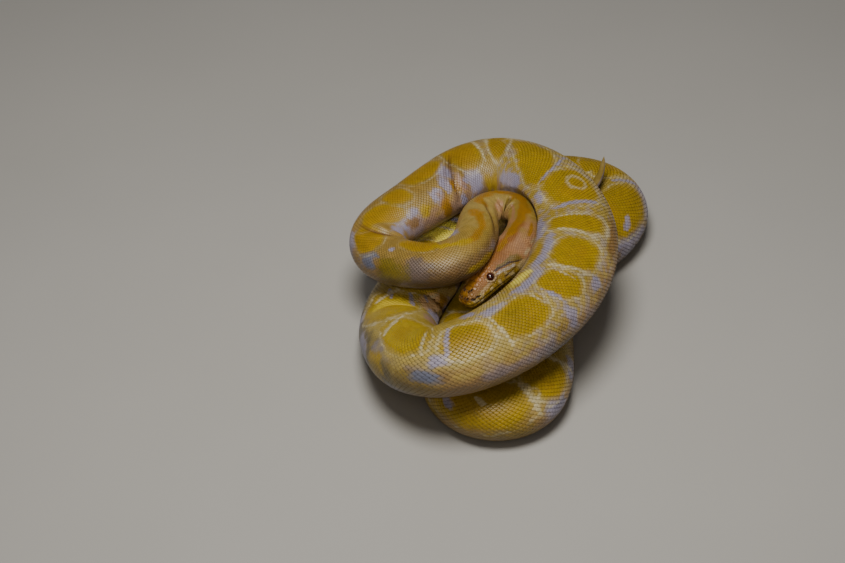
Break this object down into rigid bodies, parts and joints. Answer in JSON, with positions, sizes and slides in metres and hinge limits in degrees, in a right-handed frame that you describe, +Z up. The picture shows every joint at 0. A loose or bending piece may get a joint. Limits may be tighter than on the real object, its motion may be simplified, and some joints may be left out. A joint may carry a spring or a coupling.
{
  "type": "coiled python snake",
  "caption": "Albino Burmese python resting in a loose coil, its head lying on its own neck and body; a still, life-size model.",
  "frame": {"origin": "on the floor, under the middle of the coiled body's bounding box", "axes": "+Z up from the floor; -Y towards the side from which the snout is seen; +X to that viewer's right"},
  "size_m": [0.3003, 0.3884, 0.1256],
  "materials": {
    "scaly_skin": "smooth scales, golden yellow saddles outlined in pale lavender white, satin",
    "eye": "wet gloss, dark red"
  },
  "bodies": {
    "root": {"head": "scaly_skin", "lower_jaw": "scaly_skin", "eye_left": "eye", "eye_right": "eye", "neck": "scaly_skin", "trunk_01": "scaly_skin", "trunk_02": "scaly_skin", "trunk_03": "scaly_skin", "trunk_04": "scaly_skin", "trunk_05": "scaly_skin", "trunk_06": "scaly_skin", "trunk_07": "scaly_skin", "trunk_08": "scaly_skin", "trunk_09": "scaly_skin", "trunk_10": "scaly_skin", "trunk_11": "scaly_skin", "trunk_12": "scaly_skin", "tail_base": "scaly_skin", "tail_tip": "scaly_skin"}
  },
  "joints": []
}
